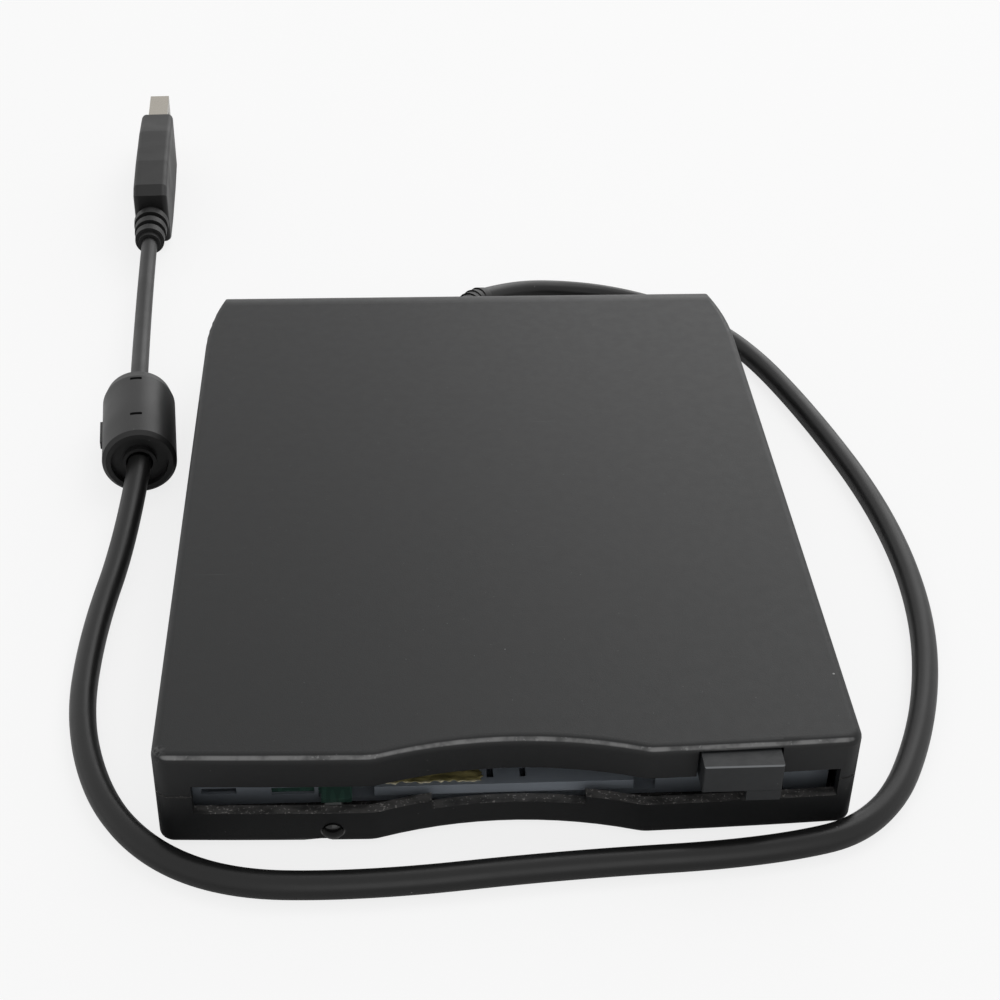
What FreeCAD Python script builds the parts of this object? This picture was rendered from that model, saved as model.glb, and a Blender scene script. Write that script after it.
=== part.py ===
import FreeCAD, Part
import math
import os

Vector = FreeCAD.Vector
UP = Vector(0, 0, 1)
RIGHT = Vector(1, 0, 0)
REARWARD = Vector(0, 1, 0)

# Driving dimensions of the case, in millimetres
case_width = 104.0
case_depth = 142.0
case_height = 18.0
foot_proud = 0.8
button_proud = 2.6
wall = 1.8
skin = 1.6
seam_z = 10.4
seam_groove = 0.35
half_width = case_width / 2
front_y = button_proud - (case_depth + button_proud) / 2
rear_y = front_y + case_depth
base_z = foot_proud
top_z = case_height

# Plan of the case: sides that draw in at the rear, a bowed front and its finger scoop
taper_start = 118.0
taper_radius = 60.0
rear_corner_radius = 6.0
wing_radius = 1040.0
scoop_radius = 66.0
scoop_depth = 3.3
front_corner_radius = 2.5
scoop_blend = 6.0

# Side view of the case
rear_round = 10.0
top_edge_round = 1.4
bottom_edge_round = 1.0

# Front slot
slot_left = -46.5
slot_right = 49.0
slot_roof = 12.2
button_x = (27.7, 39.5)
button_z = (11.7, 16.8)
button_leg_x = 34.4
button_notch_x = (27.3, 39.9)
button_notch_top = 17.1
slot_sill = 6.8
scoop_sill = 5.2
scoop_sill_half = 11.5

# Disk and carrier: heights are with no disk in, and the carrier drops by its lift
disk_half = 45.0
carrier_lift = 1.5
eject_travel = 4.0
eject_give = 0.4
disk_floor = 8.4
carrier_top = 12.0
sheet = 0.6
pin_backs = (24.0, 84.0)
pin_z = 10.8
pin_radius = 0.8
slider_z = (13.0, 13.6)

# Chassis tray
chassis_half = 49.0
chassis_wall = 0.8
chassis_floor = (3.0, 4.0)
chassis_wall_top = 12.9
chassis_end = 128.0
cover_end = 119.0
flange_top = 6.8
cover_z = (15.2, 15.7)

# Spindle, heads and stepper: distances are behind the front plane
spindle_back = 48.5
hub_top = 7.2
head_back = 88.0
arm_pivot_back = 118.0
arm_pivot_z = 11.4
arm_angle = 6.6
rod_z = 7.6
rod_radius = 1.5
main_rod_x = 16.0
second_rod_x = -24.0
screw_x = -12.0
rod_ends = (95.0, 127.4)

# Shutter lever, pivoted on the carrier
lever_pivot = (-33.0, 99.0)
lever_reach = 28.0
lever_rest_angle = -80.0
lever_swing = 58.0

# Front sensors: x and distance behind the front plane
sensors = {"write_protect": (-41.6, 13.0), "density": (41.6, 13.0), "disk_in": (-41.6, 88.0)}

# Status light
light_x = -26.2
light_z = 3.2

# Case screws, mechanism screws and feet
case_screws_at = ((-43.0, 133.0), (43.0, 133.0))
mechanism_screws_at = ((-45.0, 34.0), (45.0, 34.0), (-45.0, 108.0), (45.0, 108.0))
feet_at = {"front_left": (-41.0, 13.0), "front_right": (41.0, 13.0),
           "rear_left": (-38.0, 122.0), "rear_right": (38.0, 122.0)}
foot_radius = 5.0
foot_depth = 0.6

# Cord: bend relief, cable and what is on it
exit_z = 8.6
relief_radius = 16.0
relief_turn = 45.0
relief_dip = 18.0
cord_diameter = 4.3
thin_cord_diameter = 3.5
cord_route = [
    (4.46, 83.61, 7.15), (10.5, 90.0, 5.2), (20.5, 94.3, 3.1), (33.5, 93.1, 2.15),
    (47.0, 84.9, 2.15), (58.8, 70.8, 2.15), (67.5, 44.3, 2.15), (74.8, 10.3, 2.15),
    (75.2, -20.7, 2.15), (68.5, -48.2, 2.15), (56.5, -70.5, 2.15), (38.0, -75.3, 2.15),
    (8.0, -76.5, 2.15), (-22.0, -79.5, 2.15), (-44.0, -78.1, 2.15), (-58.8, -66.5, 2.15),
    (-66.6, -45.7, 2.15), (-67.3, -21.7, 2.15), (-64.0, 4.3, 3.4), (-63.2, 22.8, 7.0),
]
thin_cord_route = [(-66.1, 51.1, 7.0), (-68.3, 80.0, 5.6), (-69.3, 108.3, 8.0)]
ferrite_length = 28.45
ferrite_radius = 6.9
plug_tip = (-72.6, 176.8, 8.0)


def back(distance):
    """y of a point this far behind the front plane."""
    return front_y + distance


def box(x, y, z):
    """Block between pairs of x, y and z."""
    return Part.makeBox(x[1] - x[0], y[1] - y[0], z[1] - z[0], Vector(x[0], y[0], z[0]))


def disc(x, y, z, radius):
    """Upright cylinder between a pair of heights."""
    return Part.makeCylinder(radius, z[1] - z[0], Vector(x, y, z[0]))


def rod_along_y(x, z, y, radius):
    return Part.makeCylinder(radius, y[1] - y[0], Vector(x, y[0], z), REARWARD)


def rod_along_x(y, z, x, radius):
    return Part.makeCylinder(radius, x[1] - x[0], Vector(x[0], y, z), RIGHT)


def join(*shapes):
    return shapes[0].multiFuse(list(shapes[1:])).removeSplitter()


def group(*shapes):
    return Part.makeCompound(list(shapes))


def plate(points, z):
    """Flat plate with straight edges between a pair of heights."""
    corners = [Vector(x, y, z[0]) for x, y in points]
    corners.append(corners[0])
    return Part.Face(Part.makePolygon(corners)).extrude(UP * (z[1] - z[0]))


def ring(x, y, z, inner, outer):
    return disc(x, y, z, outer).cut(disc(x, y, z, inner))


def save(name, shape):
    shape.exportStep("parts/" + name + ".step")


def arc(first, middle, last):
    return Part.Arc(first, middle, last).toShape()


def line(first, last):
    return Part.LineSegment(first, last).toShape()


def on_circle(centre, radius, angle):
    return Vector(centre[0] + radius * math.cos(angle), centre[1] + radius * math.sin(angle), 0)


def circle_arc(centre, radius, start, end):
    return arc(on_circle(centre, radius, start), on_circle(centre, radius, (start + end) / 2),
               on_circle(centre, radius, end))


def mirrored(edge):
    return edge.mirror(Vector(0, 0, 0), RIGHT)


def circle_at(across, centre_a, radius_a, centre_b, radius_b):
    """Right-hand crossing of two circles that are both centred on x = across."""
    gap = centre_b - centre_a
    rise = (gap ** 2 + radius_a ** 2 - radius_b ** 2) / (2 * gap)
    return (across + math.sqrt(radius_a ** 2 - rise ** 2), centre_a + rise)


def angle_to(centre, point):
    return math.atan2(point[1] - centre[1], point[0] - centre[0])


def case_face(inset):
    """Plan of the case, drawn in on every side by the inset."""
    taper_centre = (half_width - taper_radius, back(taper_start))
    corner_y = rear_y - rear_corner_radius
    reach = taper_radius - rear_corner_radius
    rise = corner_y - taper_centre[1]
    rear_corner = (taper_centre[0] + math.sqrt(reach ** 2 - rise ** 2), corner_y)
    turn = math.asin(rise / reach)
    wing_centre = (0, front_y + wing_radius)
    scoop_centre = (0, front_y + scoop_depth - scoop_radius)
    corner_x = half_width - front_corner_radius
    corner_drop = math.sqrt((wing_radius - front_corner_radius) ** 2 - corner_x ** 2)
    front_corner = (corner_x, wing_centre[1] - corner_drop)
    blend_centre = circle_at(0, scoop_centre[1], scoop_radius + scoop_blend,
                             wing_centre[1], wing_radius - scoop_blend)
    wing_start = angle_to(wing_centre, blend_centre)
    wing_end = angle_to(wing_centre, front_corner)
    scoop_angle = angle_to(scoop_centre, blend_centre)
    side_x = half_width - inset
    right = [
        circle_arc(blend_centre, scoop_blend - inset, scoop_angle - math.pi, wing_start),
        circle_arc(wing_centre, wing_radius - inset, wing_start, wing_end),
        circle_arc(front_corner, front_corner_radius - inset, wing_end, 0),
        line(Vector(side_x, front_corner[1], 0), Vector(side_x, taper_centre[1], 0)),
        circle_arc(taper_centre, taper_radius - inset, 0, turn),
        circle_arc(rear_corner, rear_corner_radius - inset, turn, math.pi / 2),
    ]
    edges = right + [mirrored(edge) for edge in right]
    rear = rear_y - inset
    edges.append(line(Vector(rear_corner[0], rear, 0), Vector(-rear_corner[0], rear, 0)))
    edges.append(circle_arc(scoop_centre, scoop_radius + inset, scoop_angle, math.pi - scoop_angle))
    return Part.Face(Part.Wire(Part.__sortEdges__(edges)))


def case_prism(inset, z):
    """Case plan as a prism between a pair of heights."""
    face = case_face(inset)
    face.translate(Vector(0, 0, z[0]))
    return face.extrude(UP * (z[1] - z[0]))


def side_view(inset, z):
    """Side view of the case as a prism across it, with the big round at the top rear."""
    radius = rear_round - inset
    low_y = front_y - 5
    high_y = rear_y - inset
    top = z[1] - inset
    start = Vector(-half_width, high_y, top - radius)
    end = Vector(-half_width, high_y - radius, top)
    offset = radius * (1 - math.sqrt(0.5))
    middle = Vector(-half_width, high_y - offset, top - offset)
    edges = [
        line(Vector(-half_width, low_y, z[0]), Vector(-half_width, high_y, z[0])),
        line(Vector(-half_width, high_y, z[0]), start),
        arc(start, middle, end),
        line(end, Vector(-half_width, low_y, top)),
        line(Vector(-half_width, low_y, top), Vector(-half_width, low_y, z[0])),
    ]
    return Part.Face(Part.Wire(edges)).extrude(RIGHT * case_width)


def whole_case():
    """Outer form of both shells together, with its edges rounded."""
    body = case_prism(0, (base_z, top_z))
    top_edges = [edge for edge in body.Edges if edge.BoundBox.ZMin > top_z - 0.01]
    body = body.makeFillet(top_edge_round, top_edges)
    bottom_edges = [edge for edge in body.Edges if edge.BoundBox.ZMax < base_z + 0.01]
    body = body.makeFillet(bottom_edge_round, bottom_edges)
    return body.common(side_view(0, (base_z, top_z)))


def cable_hole(radius):
    return rod_along_y(0, exit_z, (rear_y - 4, rear_y + 4), radius)


def upper_shell():
    """Upper half of the case: roof and walls, screw pillars, slot roof and button notch."""
    shell = whole_case().common(box((-60, 60), (front_y - 5, rear_y + 5), (seam_z, top_z + 1)))
    cavity = case_prism(wall, (seam_z - 1, top_z)).common(side_view(skin, (0, top_z)))
    shell = shell.cut(cavity)
    pillars = [disc(x, back(y), (seam_z, top_z - 1), 3.0) for x, y in case_screws_at]
    shell = join(shell, *pillars)
    cuts = [disc(x, back(y), (seam_z - 1, top_z - 3.5), 1.1) for x, y in case_screws_at]
    cuts.append(box((slot_left, slot_right), (front_y - 2, back(6)), (seam_z - 1, slot_roof)))
    cuts.append(box(button_notch_x, (front_y - 2, back(4)), (slot_roof - 1, button_notch_top)))
    cuts.append(cable_hole(3.2))
    return shell.cut(cuts)


def seam_band():
    """Shallow band round the case just under the seam, which shows there as a dark line."""
    height = (seam_z - seam_groove, seam_z)
    inner = case_prism(seam_groove, (base_z, top_z)).common(side_view(seam_groove, (base_z, top_z)))
    return box((-60, 60), (front_y - 5, rear_y + 5), height).cut(inner)


def lower_shell():
    """Lower half of the case: floor and walls, front sill, pillars, foot and screw recesses."""
    shell = whole_case().common(box((-60, 60), (front_y - 5, rear_y + 5), (base_z - 1, seam_z)))
    floor_z = base_z + skin
    shell = shell.cut(case_prism(wall, (floor_z, top_z)))
    pillars = [disc(x, back(y), (base_z + 1, seam_z), 3.2) for x, y in case_screws_at]
    pads = [disc(x, back(y), (base_z + 1, chassis_floor[0]), 2.6) for x, y in mechanism_screws_at]
    shell = join(shell, *pillars, *pads)
    front = (front_y - 2, back(6))
    cuts = [
        box((slot_left, slot_right), front, (slot_sill, seam_z + 1)),
        box((-scoop_sill_half, scoop_sill_half), front, (scoop_sill, seam_z)),
        rod_along_y(light_x, light_z, (front_y - 2, back(4)), 1.6),
        cable_hole(3.2),
    ]
    for x, y in case_screws_at:
        cuts.append(disc(x, back(y), (base_z - 1, seam_z + 1), 1.4))
        cuts.append(disc(x, back(y), (base_z - 1, base_z + 3), 2.6))
    for x, y in mechanism_screws_at:
        cuts.append(disc(x, back(y), (base_z - 1, chassis_floor[0] + 1), 1.1))
        cuts.append(disc(x, back(y), (base_z - 1, base_z + 1), 2.1))
    for x, y in feet_at.values():
        cuts.append(disc(x, back(y), (base_z - 1, base_z + foot_depth), foot_radius + 0.1))
    cuts.append(seam_band())
    return shell.cut(cuts)


def foot(x, y):
    """Round rubber foot with a bevelled sole, set in its recess."""
    body = disc(x, back(y), (0, base_z + foot_depth), foot_radius)
    sole = [edge for edge in body.Edges if edge.BoundBox.ZMax < 0.01]
    return body.makeChamfer(0.4, sole)


def pan_screw(x, y, head_z, tip_z, head_radius, shank_radius):
    """Pan head screw pointing up, with a cross recess."""
    head = disc(x, back(y), (head_z, head_z + 1.0), head_radius)
    shank = disc(x, back(y), (head_z + 0.5, tip_z), shank_radius)
    screw = join(head, shank)
    long = head_radius * 0.55
    recess = [box((x - long, x + long), (back(y) - 0.25, back(y) + 0.25), (head_z - 1, head_z + 0.5)),
              box((x - 0.25, x + 0.25), (back(y) - long, back(y) + long), (head_z - 1, head_z + 0.5))]
    return screw.cut(recess)


def case_screws():
    return group(*[pan_screw(x, y, base_z + 2.0, seam_z + 3, 2.4, 1.05) for x, y in case_screws_at])


def mechanism_screws():
    return group(*[pan_screw(x, y, base_z - 0.1, chassis_floor[1], 1.9, 0.9)
                   for x, y in mechanism_screws_at])


def eject_button():
    """Push button: a wide cap with a leg at its right that reaches down into the slot."""
    cap = box(button_x, (front_y - button_proud, back(3.4)), button_z)
    leg = box((button_leg_x, button_x[1]), (front_y - button_proud + 0.4, back(3.4)), (9.6, button_z[0]))
    button = join(cap, leg)
    front = [edge for edge in button.Edges if edge.BoundBox.YMax < front_y - button_proud + 0.01]
    button = button.makeFillet(0.3, front)
    tab = slider_tab()
    grown = box((tab.BoundBox.XMin - 0.05, tab.BoundBox.XMax + 0.05),
                (tab.BoundBox.YMin - 0.1, tab.BoundBox.YMax), (slider_z[0] - 0.05, slider_z[1] + 0.05))
    return button.cut(grown)


def slider_tab():
    return box((30.0, 37.0), (front_y - 1.2, back(12)), slider_z)


def slot_link(y, half_height):
    """Sloping slot in a slider flange: the pin's way as the slider comes forward."""
    steps = []
    for travel in (-eject_give, eject_travel):
        drop = travel * carrier_lift / eject_travel
        steps.append(Vector(0, back(y) + travel, pin_z - drop))
    along = steps[1].sub(steps[0])
    across = Vector(0, -along.z, along.y).normalize() * half_height
    if across.z < 0:
        across = across * -1
    corners = [steps[0].add(across), steps[1].add(across), steps[1].sub(across), steps[0].sub(across)]
    corners.append(corners[0])
    middle = Part.Face(Part.makePolygon(corners)).extrude(RIGHT * 2 * half_width)
    middle.translate(Vector(-half_width, 0, 0))
    ends = [rod_along_x(point.y, point.z, (-half_width, half_width), half_height) for point in steps]
    return join(middle, *ends)


def eject_slider():
    """Steel slider: a fork of two side strips with flanges that carry the sloping slots."""
    outer = 47.2
    inner = 38.0
    parts = [box((-outer, outer), (back(10), back(21)), slider_z), slider_tab()]
    for side in (-1, 1):
        strip = sorted((side * inner, side * outer))
        flange = sorted((side * (outer - sheet), side * outer))
        parts.append(box(strip, (back(10), back(102)), slider_z))
        parts.append(box(flange, (back(12), back(100)), (8.0, slider_z[1])))
        lug = sorted((side * 41.5, side * 44.5))
        parts.append(box(lug, (back(70), back(70.6)), (slider_z[0], 14.9)))
    slider = join(*parts)
    holes = [slot_link(y, pin_radius + 0.08) for y in pin_backs]
    holes.append(box((-24, 24), (back(13), back(18)), (12, 14)))
    for side in (-1, 1):
        for y in (34.0, 50.0):
            holes.append(disc(side * 42.4, back(y), (12, 14), 2.2))
    return slider.cut(holes)


def eject_spring(side):
    """Compression spring between the slider's lug and the cover's stop, wound in short steps."""
    coil_radius = 0.5
    wire = 0.17
    turns = 9
    steps = 10
    length = 14.0
    points = []
    for step in range(turns * steps + 1):
        angle = 2 * math.pi * step / steps
        points.append(Vector(side * 43.0 + coil_radius * math.cos(angle),
                             back(71.2) + length * step / (turns * steps),
                             14.4 + coil_radius * math.sin(angle)))
    heading = points[1].sub(points[0]).normalize()
    across = heading.cross(RIGHT).normalize() * wire
    upward = heading.cross(across)
    corners = [points[0].add(across), points[0].add(upward), points[0].sub(across), points[0].sub(upward)]
    profile = Part.makePolygon(corners + [corners[0]])
    return Part.makePolygon(points).makePipeShell([profile], True, False, 1)


def spring_stop(side):
    """Bent tab under the cover that the spring pushes against."""
    x = sorted((side * 41.5, side * 44.5))
    return box(x, (back(86), back(86.6)), (13.9, cover_z[1]))


def carrier():
    """Disk carrier: top plate with turned-down sides and narrow rails for the disk's edges."""
    top = (carrier_top, carrier_top + sheet)
    outer = disk_half + 0.3 + sheet
    parts = [box((-outer, outer), (back(8), back(106)), top)]
    for side in (-1, 1):
        parts.append(box(sorted((side * (outer - sheet), side * outer)), (back(8), back(92)),
                         (disk_floor - sheet, top[1])))
        parts.append(box(sorted((side * 43.2, side * outer)), (back(8), back(62)),
                         (disk_floor - sheet, disk_floor)))
    plate_cuts = [
        box((-10, 10), (back(66), back(110)), (11, 14)),
        disc(0, back(spindle_back), (11, 14), 9),
        lever_way(1.3, (11, 14)),
        plate([(-30, back(8)), (-26, back(12)), (26, back(12)), (30, back(8))], (11, 14)),
    ]
    for side in (-1, 1):
        plate_cuts.append(box(sorted((side * 20, side * 34)), (back(24), back(34)), (11, 14)))
    return join(*parts).cut(plate_cuts)


def lever_way(half_gap, z):
    """Arc slot that the lever's pin swings through."""
    centre = (lever_pivot[0], back(lever_pivot[1]))
    start = math.radians(lever_rest_angle)
    end = math.radians(lever_rest_angle + lever_swing)
    outer = lever_reach + half_gap
    inner = lever_reach - half_gap
    edges = [circle_arc(centre, outer, start, end),
             line(on_circle(centre, outer, end), on_circle(centre, inner, end)),
             circle_arc(centre, inner, end, start),
             line(on_circle(centre, inner, start), on_circle(centre, outer, start))]
    face = Part.Face(Part.Wire(edges))
    face.translate(Vector(0, 0, z[0]))
    way = face.extrude(UP * (z[1] - z[0]))
    ends = [on_circle(centre, lever_reach, angle) for angle in (start, end)]
    return join(way, *[disc(point.x, point.y, z, half_gap) for point in ends])


def carrier_pins():
    pins = []
    for side in (-1, 1):
        for y in pin_backs:
            x = sorted((side * (disk_half + 0.9), side * (chassis_half + 0.2)))
            pins.append(rod_along_x(back(y), pin_z, x, pin_radius))
    return group(*pins)


def lever_post():
    """Shouldered rivet on the carrier that the lever turns on."""
    x, y = lever_pivot
    post = disc(x, back(y), (carrier_top + sheet, 13.6), 1.5)
    return join(post, disc(x, back(y), (13.6, 14.1), 2.4))


def shutter_lever():
    """Lever that slides the disk's shutter open: flat arm, round boss and a pin pointing down."""
    x, y = lever_pivot
    centre = (x, back(y))
    tip = on_circle(centre, lever_reach, math.radians(lever_rest_angle))
    z = (12.8, 13.4)
    along = Vector(tip.x - centre[0], tip.y - centre[1], 0).normalize()
    across = Vector(-along.y, along.x, 0)
    start = Vector(centre[0], centre[1], 0)
    corners = [start.add(across * 3), tip.add(across * 1.6), tip.sub(across * 1.6), start.sub(across * 3)]
    arm = plate([(corner.x, corner.y) for corner in corners], z)
    boss = disc(centre[0], centre[1], z, 3.6)
    end = disc(tip.x, tip.y, z, 1.6)
    pin = disc(tip.x, tip.y, (9.2, z[0] + 0.3), 0.9)
    lever = join(arm, boss, end, pin)
    return lever.cut(disc(centre[0], centre[1], (12, 14), 1.56))


def chassis():
    """Steel tray: floor, turned-up sides, front flanges with windows and a raised middle lip."""
    floor = chassis_floor
    front = 6.6
    lip = 5.6
    parts = [box((-chassis_half, chassis_half), (back(front), back(chassis_end)), floor)]
    for side in (-1, 1):
        x = sorted((side * (chassis_half - chassis_wall), side * chassis_half))
        parts.append(box(x, (back(9), back(chassis_end)), (floor[0], chassis_wall_top)))
        parts.append(box(x, (back(front), back(9.5)), (floor[0], flange_top)))
    parts.append(box((-chassis_half, -28.4), (back(front), back(front + sheet)), (floor[0], flange_top)))
    parts.append(box((22.5, chassis_half), (back(front), back(front + sheet)), (floor[0], flange_top)))
    parts.append(box((22.5, 40.0), (back(front), back(front + 3)), (flange_top - sheet, flange_top)))
    parts.append(box((-20, 19), (back(lip), back(13)), (flange_top - sheet, flange_top)))
    parts.append(box((-20, 19), (back(lip), back(lip + sheet)), (5.0, flange_top)))
    parts.append(box((-20, 19), (back(13 - sheet), back(13)), (floor[0], flange_top)))
    tray = join(*parts)
    cuts = [
        box((-45.8, -40.6), (back(front - 1), back(front + 1)), (5.2, 6.4)),
        box((-35.4, -29.0), (back(front - 1), back(front + 1)), (4.8, 6.2)),
        box((-3.1, -2.1), (back(7.0), back(9.4)), (6, 7)),
        box((1.9, 2.8), (back(7.0), back(9.4)), (6, 7)),
        box((-12, 12), (back(82), back(94)), (2, 5)),
        disc(0, back(spindle_back), (2, 5), 4.6),
        box((-30, -8), (back(64), back(76)), (2, 5)),
        box((8, 30), (back(64), back(76)), (2, 5)),
    ]
    for side in (-1, 1):
        for y in pin_backs:
            x = sorted((side * (chassis_half - 2), side * (chassis_half + 1)))
            cuts.append(box(x, (back(y) - pin_radius - 0.06, back(y) + pin_radius + 0.06),
                            (pin_z - carrier_lift - pin_radius - 0.4, chassis_wall_top + 1)))
    for x, y in mechanism_screws_at:
        cuts.append(disc(x, back(y), (2, 5), 1.0))
    return tray.cut(cuts)


def mechanism_cover():
    """Thin steel lid over the mechanism, with side skirts, a head window and spring stops."""
    outer = chassis_half + 0.7
    parts = [box((-outer, outer), (back(9), back(cover_end)), cover_z)]
    for side in (-1, 1):
        x = sorted((side * (outer - 0.5), side * outer))
        parts.append(box(x, (back(9), back(cover_end)), (10.6, cover_z[1])))
        parts.append(spring_stop(side))
    lid = join(*parts)
    cuts = [box((-14, 14), (back(64), back(cover_end + 1)), (14, 17))]
    for side in (-1, 1):
        cuts.append(disc(side * 24, back(40), (14, 17), 6))
    return lid.cut(cuts)


def spindle_bearing():
    return ring(0, back(spindle_back), (3.0, 5.6), 1.55, 4.4)


def stator():
    """Stator core with a coil on each of its poles."""
    poles = 9
    y = back(spindle_back)
    core = ring(0, y, (4.6, 5.2), 4.6, 6.5)
    pieces = [core]
    for number in range(poles):
        angle = 360.0 / poles * number
        pole = box((6.0, 12.6), (y - 0.7, y + 0.7), (4.6, 5.2))
        coil = box((7.2, 10.6), (y - 1.5, y + 1.5), (4.2, 5.6))
        tooth = join(pole, coil)
        tooth.rotate(Vector(0, y, 0), UP, angle)
        pieces.append(tooth)
    return join(*pieces)


def rotor():
    """Flat cup over the coils."""
    y = back(spindle_back)
    cup = disc(0, y, (4.5, 6.8), 15.0).cut(disc(0, y, (4.0, 6.2), 13.8))
    return cup.cut(disc(0, y, (4, 8), 1.5))


def spindle_shaft():
    return disc(0, back(spindle_back), (3.2, 8.2), 1.5)


def spindle_hub():
    """Plate that the disk's own hub sits on, round the shaft."""
    y = back(spindle_back)
    hub = disc(0, y, (6.8, hub_top), 12.0).cut(disc(0, y, (6, 9), 1.5))
    return hub.cut(disc(10.0, y, (6, 9), 1.3))


def drive_pin():
    return disc(10.0, back(spindle_back), (6.85, 8.0), 1.0)


def rod(x):
    return rod_along_y(x, rod_z, (back(rod_ends[0]), back(rod_ends[1])), rod_radius)


def rod_clamps():
    """Four blocks on the chassis floor that hold the guide rods by their ends."""
    blocks = []
    for x in (main_rod_x, second_rod_x):
        for start in (rod_ends[0], rod_ends[1] - 2.2):
            block = box((x - 2.6, x + 2.6), (back(start), back(start + 2.2)), (chassis_floor[1], 9.6))
            blocks.append(block.cut(rod_along_y(x, rod_z, (back(start - 1), back(start + 4)), rod_radius)))
    return group(*blocks)


def carriage():
    """Head carriage: block on the rods, thin lower arm, fork for the screw and lugs for the arm."""
    body = (112.8, 123.2)
    parts = [
        box((-10, 20), (back(body[0]), back(body[1])), (4.6, 10.2)),
        box((-27.0, -10), (back(body[0]), back(body[0] + 4)), (5.2, 10.0)),
        box((-4.6, 4.6), (back(84), back(body[0] + 1)), (5.0, 6.4)),
    ]
    for side in (-1, 1):
        parts.append(box(sorted((side * 7.2, side * 9.2)), (back(116.6), back(119.4)), (9, 12.8)))
    block = join(*parts)
    cuts = [
        rod_along_y(main_rod_x, rod_z, (back(100), back(130)), rod_radius + 0.05),
        rod_along_y(second_rod_x, rod_z, (back(100), back(130)), rod_radius + 0.05),
        rod_along_y(screw_x, rod_z, (back(100), back(130)), 1.8),
        rod_along_x(back(arm_pivot_back), arm_pivot_z, (-12, 12), 0.65),
        box((-7.1, 7.1), (back(114.5), back(121.5)), (8.4, 11)),
    ]
    return block.cut(cuts)


def lower_head():
    slider = box((-3, 3), (back(head_back - 2.6), back(head_back + 2.6)), (6.4, 8.4))
    top = [edge for edge in slider.Edges if edge.BoundBox.ZMin > 8.39]
    return slider.makeFillet(0.6, top)


def raised(shape):
    """Swing a piece of the upper arm from its lowered place to where it rests with no disk in."""
    shape.rotate(Vector(0, back(arm_pivot_back), arm_pivot_z), RIGHT, -arm_angle)
    return shape


def upper_arm():
    """Upper head arm with its hinge sleeve and a stiffening rib."""
    y = back(arm_pivot_back)
    sleeve = rod_along_x(y, arm_pivot_z, (-6.9, 6.9), 1.25)
    beam = plate([(-4.4, y), (4.4, y), (3.4, back(84.6)), (-3.4, back(84.6))], (10.9, 11.6))
    rib = box((-0.6, 0.6), (back(92), y), (11.5, 12.3))
    arm = join(sleeve, beam, rib)
    return raised(arm.cut(rod_along_x(y, arm_pivot_z, (-12, 12), 0.6)))


def upper_head():
    slider = box((-3, 3), (back(head_back - 2.6), back(head_back + 2.6)), (8.6, 10.9))
    low = [edge for edge in slider.Edges if edge.BoundBox.ZMax < 8.61]
    return raised(slider.makeFillet(0.6, low))


def arm_pin():
    return rod_along_x(back(arm_pivot_back), arm_pivot_z, (-9.2, 9.2), 0.6)


def lead_screw():
    return rod_along_y(screw_x, rod_z, (back(97.8), back(127.6)), 1.45)


def stepper():
    """Small round stepper with its mounting plate and rear terminal block."""
    can = rod_along_y(screw_x, 8.3, (back(128.4), back(137.6)), 4.2)
    face = box((screw_x - 7, screw_x + 7), (back(127.8), back(128.4)), (4.1, 12.6))
    block = box((screw_x - 3, screw_x + 3), (back(130), back(136)), (12, 13.6))
    return join(can, face, block)


def sensor_switch(x, y):
    """Low switch body with a bore for its plunger."""
    body = box((x - 2.6, x + 2.6), (back(y - 3), back(y + 3)), (4.0, 6.1))
    return body.cut(disc(x, back(y), (4.3, 8), 0.76))


def sensor_plunger(x, y):
    rod_up = disc(x, back(y), (5.6, 8.1), 0.7)
    return rod_up.makeChamfer(0.3, [edge for edge in rod_up.Edges if edge.BoundBox.ZMin > 8.09])


def sensor_board():
    """Narrow board behind the front flange, its end showing beside the raised lip."""
    return box((-38.5, -23.4), (back(7.4), back(19)), (4.0, 4.8)).fuse(
        box((-28.0, -23.4), (back(5.4), back(8)), (4.0, 4.8))).removeSplitter()


def main_board():
    board = box((-47.6, -29.4), (back(99), back(128)), (4.0, 4.8))
    return board.cut(disc(-45, back(108), (3, 6), 2.4))


def board_chips():
    return group(box((-44, -36), (back(114), back(122)), (4.8, 6.0)),
                 box((-35, -31), (back(104), back(110)), (4.8, 5.8)),
                 box((-42, -38), (back(100.5), back(104)), (4.8, 5.6)))


def interface_board():
    return box((7, 38), (back(130.6), back(139.4)), (5.0, 5.8))


def interface_chips():
    return group(box((12, 19), (back(131.5), back(138)), (5.8, 7.2)),
                 box((24, 28), (back(132), back(137)), (5.8, 9.0)),
                 box((31, 36), (back(132), back(135)), (5.8, 7.0)))


def flat_cable():
    """Flat cable from the main board along the rear to the interface board."""
    z = (4.8, 5.1)
    return join(box((-38.5, -31), (back(124), back(138)), z), box((-38.5, -18), (back(130.5), back(138)), z))


def light_lens():
    """Domed lens with a collar behind the front wall."""
    y = front_y + 0.35
    barrel = rod_along_y(light_x, light_z, (y - 0.1, back(2.6)), 1.5)
    collar = rod_along_y(light_x, light_z, (back(2.5), back(3.1)), 2.1)
    collar = collar.common(box((light_x - 3, light_x + 3), (back(2), back(4)), (base_z + skin + 0.02, 6)))
    radius = 2.4
    depth = 0.7
    ball = Part.makeSphere(radius, Vector(light_x, y - 0.1 - depth + radius, light_z))
    dome = ball.common(rod_along_y(light_x, light_z, (y - 2, y), 1.5))
    return join(barrel, collar, dome)


def light_source():
    return box((light_x - 1.2, light_x + 1.2), (back(3.3), back(6.3)), (2.4, 4.0 - 0.02))


def tape_strip():
    """Thin strip of tape stuck on the raised middle lip of the chassis."""
    outline = [(-19.5, back(6.2)), (-4.4, back(5.9)), (-3.6, back(10.6)), (-18.6, back(11.2))]
    return plate(outline, (flange_top, flange_top + 0.12))


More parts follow.
